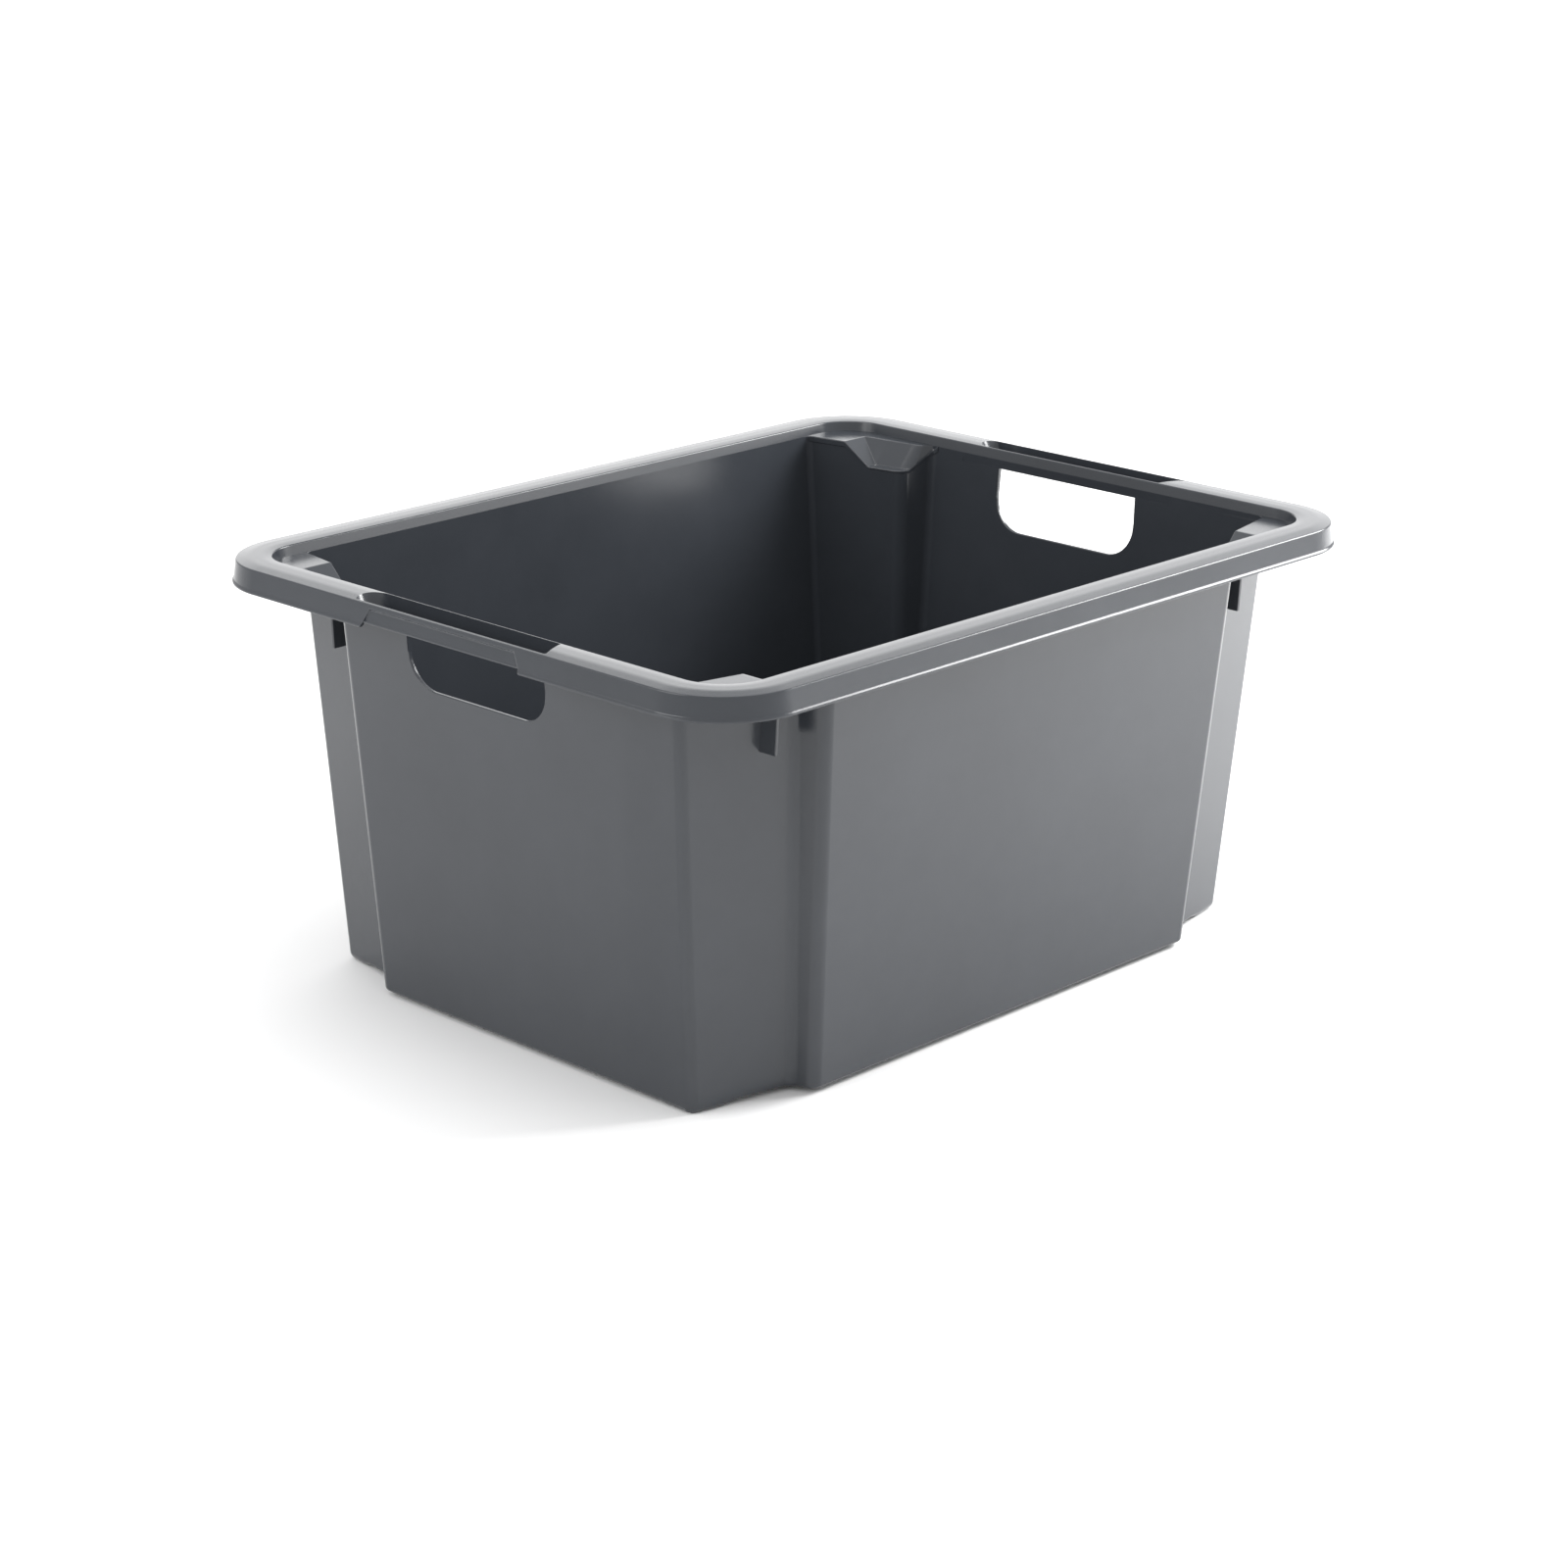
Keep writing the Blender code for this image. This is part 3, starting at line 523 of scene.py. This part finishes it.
def fill_underside(bm, rim):
    """Triangles inside the lowest ring, with the feet's soft steps."""
    border = [Vector((v.co.x, v.co.y)) for v in rim]
    edges = [(k, (k + 1) % len(border)) for k in range(len(border))]
    spots, _, faces, origin, _, _ = delaunay_2d_cdt(border + foot_points(border), edges, [], 1, 1e-7)
    verts = []
    for spot, sources in zip(spots, origin):
        known = [j for j in sources if j < len(rim)]
        if known:
            verts.append(rim[known[0]])
        else:
            verts.append(bm.verts.new((spot.x, spot.y, underside_z(spot.x, spot.y))))
    for face in faces:
        bm.faces.new([verts[k] for k in face])


def hand_hole_outline():
    """Hand hole (y, z) with rounded lower corners, open upwards into the handle's length."""
    over = HEIGHT + CUT_ABOVE
    width = HOLE_HALF_WIDTH
    seat = HANDLE_BOTTOM_Z
    lower = filleted([(-width, seat, 0), (-width, HOLE_BOTTOM_Z, HOLE_RADIUS),
                      (width, HOLE_BOTTOM_Z, HOLE_RADIUS), (width, seat, 0)], 2 * ARC_STEPS)
    corners = [(HANDLE_BACK_Y, seat), (HANDLE_BACK_Y, over)]
    corners += [(HANDLE_FRONT_Y, over), (HANDLE_FRONT_Y, seat)]
    return lower + [Vector(corner) for corner in corners]


def hand_hole_cutter(sign):
    outline = hand_hole_outline()
    sections = [[Vector((sign * x, p.x, p.y)) for p in outline] for x in HOLE_CUT_X]
    return loft("hand_hole", sections)


def on_hole_edge(co):
    """Whether a place is on the hand hole's edge, below the handle."""
    low = HOLE_BOTTOM_Z - HOLE_EDGE_SLACK < co.z < HANDLE_BOTTOM_Z - HOLE_EDGE_SLACK
    return low and abs(co.y) < HOLE_HALF_WIDTH + HOLE_EDGE_SLACK and abs(co.x) > BASE_HALF_X


def shell(material):
    """Walls, base and feet as one sheet, thickened inwards, with the two hand holes."""
    top = [station.at(wall_top(k)) for k, station in enumerate(STATIONS)]
    rings = [edge_ring(k / EDGE_STEPS) for k in range(EDGE_STEPS + 1)]
    bm = bmesh.new()
    grid = add_rows(bm, [top] + rings)
    fill_underside(bm, grid[-1])
    bmesh.ops.recalc_face_normals(bm, faces=bm.faces)
    face = min(bm.faces, key=lambda f: f.calc_center_median().z)
    if face.normal.z > 0:
        bmesh.ops.reverse_faces(bm, faces=bm.faces)
    obj = new_object("moulded_shell", bm)
    mirror = obj.modifiers.new("Mirror", "MIRROR")
    mirror.use_clip = True
    mirror.merge_threshold = MERGE_DISTANCE
    solid = obj.modifiers.new("Solidify", "SOLIDIFY")
    solid.thickness = WALL
    solid.offset = -1.0
    solid.use_even_offset = True
    bake(obj)
    for _, sign in SIDES:
        cut(obj, hand_hole_cutter(sign))
    round_edges(obj, on_hole_edge, HOLE_EDGE_ROUND)
    finish_piece(obj, material, "base_panel", "front_wall", "back_wall",
                 "left_end_wall", "right_end_wall")


# ---------------------------------------------------------------- rim

def rim_path(end_y, corner_y):
    """Right half of the rim's path with its outward directions, through the corner on one side."""
    centre = Vector((BAND_HALF_X - RIM_CORNER_RADIUS, corner_y * (BAND_HALF_Y - RIM_CORNER_RADIUS)))
    path = []
    for k in range(RIM_CORNER_STEPS + 1):
        out = heading(corner_y * math.pi / 2 * (1 - k / RIM_CORNER_STEPS))
        path.append((centre + RIM_CORNER_RADIUS * out, out))
    path.insert(0, (Vector((0.0, corner_y * BAND_HALF_Y)), Vector((0.0, corner_y))))
    path.append((Vector((BAND_HALF_X, end_y)), Vector((1.0, 0.0))))
    return path


def band_slope(z):
    """How far the inner band leans out at height z, in line with the wall below it."""
    return (z - BAND_LOW_Z) * (TOP_HALF_X - BASE_HALF_X) / HEIGHT


def rim_top():
    """Corners of the rim's section (out, z, radius) from its inner band over the crown."""
    bend = (-WALL + band_slope(BAND_BEND_Z), BAND_BEND_Z, 0.0008)
    return [bend, (-0.0008, HEIGHT - 0.0004, 0.0009), (0.0040, HEIGHT, 0.0400),
            (0.0110, HEIGHT - 0.0001, 0.0300)]


def skirt_corners():
    """Corners of the skirt's section, from its crisp upper edge to its lip's inner edge."""
    low = SKIRT_LOW_Z
    return [(FLANGE - 0.0022, HEIGHT - 0.0010, 0.0009), (FLANGE - 0.0008, low + 0.0021, 0.0012),
            (FLANGE, low + 0.0011, 0.0005), (FLANGE, low, 0.0004), (FLANGE - 0.0018, low, 0.0004)]


def rim_section():
    """Closed section of the rim: crowned top, crisp outer edge, flared skirt with a lip."""
    hollow = [(FLANGE - 0.0040, HEIGHT - 0.0026, 0.0008), (0.0, HEIGHT - WALL, 0)]
    corners = [(-WALL, BAND_LOW_Z, 0)] + rim_top() + skirt_corners()
    return filleted(corners + hollow + [(0.0, BAND_LOW_Z, 0)])


def rim(name, end_y, corner_y, material):
    """Half of the rim, from one handle round two corners to the other handle."""
    section = rim_section()
    right = rim_path(end_y, corner_y)
    left = [(Vector((-p.x, p.y)), Vector((-out.x, out.y))) for p, out in reversed(right[1:])]
    sections = []
    for spot, out in left + right:
        sections.append([Vector((spot.x + out.x * s.x, spot.y + out.y * s.x, s.y)) for s in section])
    obj = loft(name + "_moulding", sections)
    finish_piece(obj, material, name)


# ---------------------------------------------------------------- handles

def grip_weight(y, z):
    """1 where the skirt is stepped in over the grip and 0 where it matches the rim."""
    level = (z - SKIRT_LOW_Z) / (GRIP_TOP_Z - SKIRT_LOW_Z)
    front = GRIP_FRONT_Y[0] + (GRIP_FRONT_Y[1] - GRIP_FRONT_Y[0]) * level
    back = GRIP_BACK_Y[0] + (GRIP_BACK_Y[1] - GRIP_BACK_Y[0]) * level
    return smooth((y - front) / GRIP_STEP + 0.5) * smooth((back - y) / GRIP_STEP + 0.5)


def handle_section(y):
    """Closed section (out, z) of a handle's bar: like the rim at its ends, stepped in over the grip."""
    corners = [(-WALL, HANDLE_BOTTOM_Z, 0)] + rim_top() + skirt_corners()
    corners.append((FLANGE - 0.0024, HANDLE_BOTTOM_Z + 0.0002, 0))
    shape = []
    for spot in subdivided(filleted(corners)):
        weight = grip_weight(y, spot.y) if spot.x > SKIRT_START else 0.0
        below = max(GRIP_TOP_Z - spot.y, 0.0)
        lift = (HANDLE_BOTTOM_Z - SKIRT_LOW_Z) * below / (GRIP_TOP_Z - SKIRT_LOW_Z)
        inset = SKIRT_INSET * smooth(below / GRIP_STEP)
        shape.append(Vector((spot.x - inset * weight, spot.y + lift * weight)))
    return shape


def subdivided(outline):
    """The same outline with close points along the skirt, where the grip's step crosses it."""
    points = []
    for here, after in zip(outline, outline[1:] + outline[:1]):
        points.append(here)
        length = (after - here).length
        if min(here.x, after.x) > SKIRT_START and length > 2 * SKIRT_SPACING:
            count = round(length / SKIRT_SPACING)
            points += [here.lerp(after, k / count) for k in range(1, count)]
    return points


def handle_places():
    """Places along a handle: close together where the skirt steps in."""
    places = [HANDLE_FRONT_Y]
    for ends in (GRIP_FRONT_Y, GRIP_BACK_Y):
        start, stop = min(ends) - GRIP_STEP, max(ends) + GRIP_STEP
        count = round((stop - start) / GRIP_SPACING)
        places += [start + (stop - start) * k / count for k in range(count + 1)]
    return places + [HANDLE_BACK_Y]


def trough_cutter(sign):
    """Trough: slanted at its front end, and rounded and sloping at its back end."""
    inner, outer = TROUGH_INNER, TROUGH_OUTER
    levels = ((TROUGH_FLOOR_Z, TROUGH_BACK_DRAFT), (HEIGHT, 0.0), (HEIGHT + CUT_ABOVE, 0.0))
    sections = []
    for z, draft in levels:
        plan = filleted([(inner, TROUGH_FRONT[0], TROUGH_FRONT_RADII[0]),
                         (outer, TROUGH_FRONT[1], TROUGH_FRONT_RADII[1]),
                         (outer, TROUGH_BACK[1] - draft, TROUGH_BACK_RADII[1]),
                         (inner, TROUGH_BACK[0] - draft, TROUGH_BACK_RADII[0])], ARC_STEPS)
        sections.append([Vector((sign * (BAND_HALF_X + p.x), p.y, z)) for p in plan])
    return loft("trough", sections)


def handle(label, sign, material):
    """Grip over a hand hole: a bar with an open trough in its top."""
    sections = []
    for y in handle_places():
        sections.append([Vector((sign * (BAND_HALF_X + s.x), y, s.y)) for s in handle_section(y)])
    obj = loft(label + "_handle_grip", sections)
    cut(obj, trough_cutter(sign))
    finish_piece(obj, material, label + "_handle")


# ---------------------------------------------------------------- stacking seats

def band_meeting(spot, across):
    """Where a line from a spot, going straight out across the seat's side, ends inside the band."""
    centre = Vector((BAND_HALF_X - RIM_CORNER_RADIUS, BAND_HALF_Y - RIM_CORNER_RADIUS))
    radius = RIM_CORNER_RADIUS - SEAT_TUCK
    if across == "y":
        over = max(spot.x - centre.x, 0.0)
        return Vector((spot.x, -centre.y - math.sqrt(max(radius ** 2 - over ** 2, 0.0))))
    over = max(spot.y - centre.y, 0.0)
    return Vector((centre.x + math.sqrt(max(radius ** 2 - over ** 2, 0.0)), spot.y))


def band_corner(start, side, count):
    """Points inside the band from one point to the end of its rounded corner."""
    up = -1.0 if side == "front" else 1.0
    centre = Vector((BAND_HALF_X - RIM_CORNER_RADIUS, up * (BAND_HALF_Y - RIM_CORNER_RADIUS)))
    first = math.atan2(start.y - centre.y, start.x - centre.x)
    last = 0.0 if side == "front" else math.pi / 2
    angles = [first + (last - first) * (k + 1) / count for k in range(count)]
    return [centre + (RIM_CORNER_RADIUS - SEAT_TUCK) * heading(angle) for angle in angles]


def seat_sections(side):
    """Closed sections of one seat across its width, from the panel's end round the corner post."""
    seated = [k for k, s in enumerate(STATIONS) if s.run.startswith(side) and s.seated()]
    stations = STATIONS[seated[0]:seated[-1] + 2]
    normals = inward_normals([s.at(SEAT_TOP_Z) for s in stations])
    edge = [inner_point(s, s.seat_z(), n) for s, n in zip(stations, normals)]
    lower = [inner_point(s, s.seat_z() - SEAT_THICKNESS, n) for s, n in zip(stations, normals)]
    turning = sum(1 for s in stations if s.run.endswith("_post")) - 1
    across = "y" if side == "front" else "x"
    outer = [band_meeting(p, across) for p in edge[:len(edge) - turning]]
    outer += band_corner(outer[-1], side, turning)
    return [seat_section(*parts) for parts in zip(stations, edge, lower, outer)]


def inner_point(station, z, normal):
    """The wall's inner surface at a station and height, in plan."""
    spot = station.at(z)
    return Vector((spot.x + normal.x * WALL, spot.y + normal.y * WALL))


def notch_profile(depth, span):
    """Upper surface (reach, drop) across a seat: notch floor, slope up to the ledge, and the band."""
    floor = min(FLOOR_SHARE * span, NOTCH_FLOOR)
    top = min(SLOPE_SHARE * span, NOTCH_BACK)
    foot = top - (top - floor) * depth
    least = min(4 * CREASE_BEVEL, (SLOPE_SHARE - FLOOR_SHARE) * span)
    if top - foot < least:
        foot, top = (foot + top - least) / 2, (foot + top + least) / 2
    bevel = CREASE_BEVEL * min(1.0, foot / NARROW_FLOOR)
    reaches = (foot - bevel, foot + bevel, top - bevel, top + bevel, span)
    profile = []
    for reach in reaches:
        share = min(max((top - reach) / (top - floor), 0.0), 1.0)
        profile.append((reach, NOTCH_DEPTH * min(depth, share)))
    return profile


def seat_section(station, edge, lower, outer):
    """One closed section: lip on the wall's inside, notch, ledge, and the underside."""
    span = (outer - edge).length
    direction = (outer - edge) / span
    lean = (edge - lower).dot(direction) / SEAT_THICKNESS
    depth = station.depth or 0.0
    drop = NOTCH_DEPTH * depth
    lip = LIP_HEIGHT[0] + (LIP_HEIGHT[1] - LIP_HEIGHT[0]) * depth
    foot = max(SEAT_THICKNESS, lip) + SEAT_FOOT_EXTRA
    front = [(SEAT_BURIED, foot), (0.0, foot), (0.0, lip), (-LIP_REACH, lip - LIP_REACH)]
    for k in range(FILLET_STEPS + 1):
        angle = math.pi / 2 * k / FILLET_STEPS
        front.append((LIP_ROUND * (1 - math.cos(angle)) - LIP_REACH, LIP_ROUND * (1 - math.sin(angle))))
    outline = [(reach - lean * below, drop + below) for reach, below in front]
    upper = notch_profile(depth, span)
    outline += upper + [(reach, below + SEAT_THICKNESS) for reach, below in reversed(upper)]
    outline.append((SEAT_BURIED, drop + SEAT_THICKNESS))
    return [Vector((*(edge + direction * reach), SEAT_TOP_Z - below)) for reach, below in outline]


def stacking_seat(side, label, sign, material):
    """Ledge over a corner post with a sloping notch that takes the foot of the crate above."""
    sections = [[Vector((sign * p.x, p.y, p.z)) for p in section] for section in seat_sections(side)]
    place = "front" if side == "front" else "back"
    obj = loft("seat_" + place + "_" + label, sections)
    finish_piece(obj, material, "stacking_seat_" + place + "_" + label)


# ---------------------------------------------------------------- ribs

def recess_face(side, z):
    """The recess's outer surface at its rib, at height z: a y on the front, an x on an end."""
    stations = [s for s in STATIONS if s.run in (side + "_notch", side + "_slope", side + "_ledge")]
    for a, b in zip(stations, stations[1:]):
        p, q = a.at(z), b.at(z)
        if side == "front" and p.x <= FRONT_RIB_X <= q.x:
            return p.lerp(q, (FRONT_RIB_X - p.x) / (q.x - p.x)).y
        if side == "end" and p.y <= BACK_RIB_Y <= q.y:
            return p.lerp(q, (BACK_RIB_Y - p.y) / (q.y - p.y)).x
    return 0.0


def rib(side, label, sign, material):
    """Upright gusset in a recess, under the seat's notch."""
    out = -1.0 if side == "front" else 1.0
    bury = -RIB_BURIED * out
    low, high = recess_face(side, RIB_BOTTOM_Z), recess_face(side, RIB_TOP_Z[0])
    outline = [(low + bury, RIB_BOTTOM_Z), (low + out * RIB_REACH, RIB_BOTTOM_Z)]
    outline += [(high + out * RIB_REACH, RIB_TOP_Z[1]), (high + bury, RIB_TOP_Z[0])]
    sections = []
    for shift in (-RIB_THICKNESS / 2, RIB_THICKNESS / 2):
        if side == "front":
            sections.append([Vector((sign * (FRONT_RIB_X + shift), a, z)) for a, z in outline])
        else:
            sections.append([Vector((sign * a, BACK_RIB_Y + shift, z)) for a, z in outline])
    place = "front" if side == "front" else "back"
    obj = loft("gusset_" + place + "_" + label, sections)
    round_edges(obj, lambda co: True, RIB_EDGE_ROUND)
    finish_piece(obj, material, "rib_" + place + "_" + label)


# ---------------------------------------------------------------- materials

def node(tree, kind, **inputs):
    """Adds a node and sets its inputs by name."""
    made = tree.nodes.new(kind)
    for name, value in inputs.items():
        made.inputs[name.replace("_", " ")].default_value = value
    return made


def plastic():
    """Graphite moulded plastic: satin skin with a fine grain and faint flow marks."""
    material = bpy.data.materials.new("graphite_moulded_plastic")
    material.use_nodes = True
    tree = material.node_tree
    shader = tree.nodes["Principled BSDF"]
    coordinates = tree.nodes.new("ShaderNodeTexCoord")

    flow = node(tree, "ShaderNodeTexNoise", Scale=14.0, Detail=4.0, Roughness=0.6)
    tree.links.new(coordinates.outputs["Object"], flow.inputs["Vector"])
    tint = tree.nodes.new("ShaderNodeValToRGB")
    tint.color_ramp.elements[0].position = 0.3
    tint.color_ramp.elements[1].position = 0.7
    tint.color_ramp.elements[0].color = (*[c * (1 - GRAPHITE_SPREAD) for c in GRAPHITE], 1.0)
    tint.color_ramp.elements[1].color = (*[c * (1 + GRAPHITE_SPREAD) for c in GRAPHITE], 1.0)
    tree.links.new(flow.outputs["Fac"], tint.inputs["Fac"])
    tree.links.new(tint.outputs["Color"], shader.inputs["Base Color"])

    gloss = tree.nodes.new("ShaderNodeMapRange")
    gloss.inputs["To Min"].default_value = GRAPHITE_ROUGHNESS[0]
    gloss.inputs["To Max"].default_value = GRAPHITE_ROUGHNESS[1]
    tree.links.new(flow.outputs["Fac"], gloss.inputs["Value"])
    tree.links.new(gloss.outputs["Result"], shader.inputs["Roughness"])

    grain = node(tree, "ShaderNodeTexNoise", Scale=2600.0, Detail=2.0, Roughness=0.5)
    tree.links.new(coordinates.outputs["Object"], grain.inputs["Vector"])
    bump = node(tree, "ShaderNodeBump", Strength=0.10, Distance=0.0002)
    tree.links.new(grain.outputs["Fac"], bump.inputs["Height"])
    tree.links.new(bump.outputs["Normal"], shader.inputs["Normal"])
    shader.inputs["IOR"].default_value = 1.50
    return material


def floor_paper():
    """Matte pale studio floor with a barely visible tooth."""
    material = bpy.data.materials.new("pale_floor")
    material.use_nodes = True
    tree = material.node_tree
    shader = tree.nodes["Principled BSDF"]
    shader.inputs["Roughness"].default_value = 0.75
    noise = node(tree, "ShaderNodeTexNoise", Scale=4.0, Detail=2.0)
    tint = tree.nodes.new("ShaderNodeValToRGB")
    tint.color_ramp.elements[0].color = (*[c * 0.99 for c in FLOOR_COLOUR], 1.0)
    tint.color_ramp.elements[1].color = (*FLOOR_COLOUR, 1.0)
    tree.links.new(noise.outputs["Fac"], tint.inputs["Fac"])
    tree.links.new(tint.outputs["Color"], shader.inputs["Base Color"])
    return material


# ---------------------------------------------------------------- studio

def studio_floor():
    bm = bmesh.new()
    bmesh.ops.create_grid(bm, x_segments=4, y_segments=4, size=FLOOR_HALF)
    obj = new_object("studio_floor", bm)
    obj.data.materials.append(floor_paper())


def softbox(name, place, target, size, power):
    """A soft rectangular light at a place, facing a target."""
    light = bpy.data.lights.new(name, "AREA")
    light.shape = "RECTANGLE"
    light.size, light.size_y = size
    light.energy = power
    obj = bpy.data.objects.new(name, light)
    obj.location = place
    obj.rotation_euler = (Vector(target) - Vector(place)).to_track_quat("-Z", "Y").to_euler()
    obj.visible_camera = False
    bpy.context.scene.collection.objects.link(obj)


def studio():
    scene = bpy.context.scene
    world = bpy.data.worlds.new("studio")
    world.use_nodes = True
    background = world.node_tree.nodes["Background"]
    background.inputs["Color"].default_value = (*WORLD_COLOUR, 1.0)
    background.inputs["Strength"].default_value = WORLD_STRENGTH
    scene.world = world
    scene.view_settings.view_transform = "Standard"
    studio_floor()
    for light in SOFTBOXES:
        softbox(*light)


def camera():
    data = bpy.data.cameras.new("camera")
    data.lens = CAMERA_LENS
    obj = bpy.data.objects.new("camera", data)
    obj.location = CAMERA_PLACE
    level = math.cos(CAMERA_PITCH)
    forward = Vector((level * math.sin(CAMERA_YAW), level * math.cos(CAMERA_YAW), math.sin(CAMERA_PITCH)))
    obj.rotation_euler = forward.to_track_quat("-Z", "Y").to_euler()
    bpy.context.scene.collection.objects.link(obj)
    bpy.context.scene.camera = obj


def build():
    material = plastic()
    shell(material)
    rim("rim_front", HANDLE_FRONT_Y, -1.0, material)
    rim("rim_back", HANDLE_BACK_Y, 1.0, material)
    for label, sign in SIDES:
        handle(label, sign, material)
        for side in ("front", "end"):
            stacking_seat(side, label, sign, material)
            rib(side, label, sign, material)
    studio()
    camera()


build()
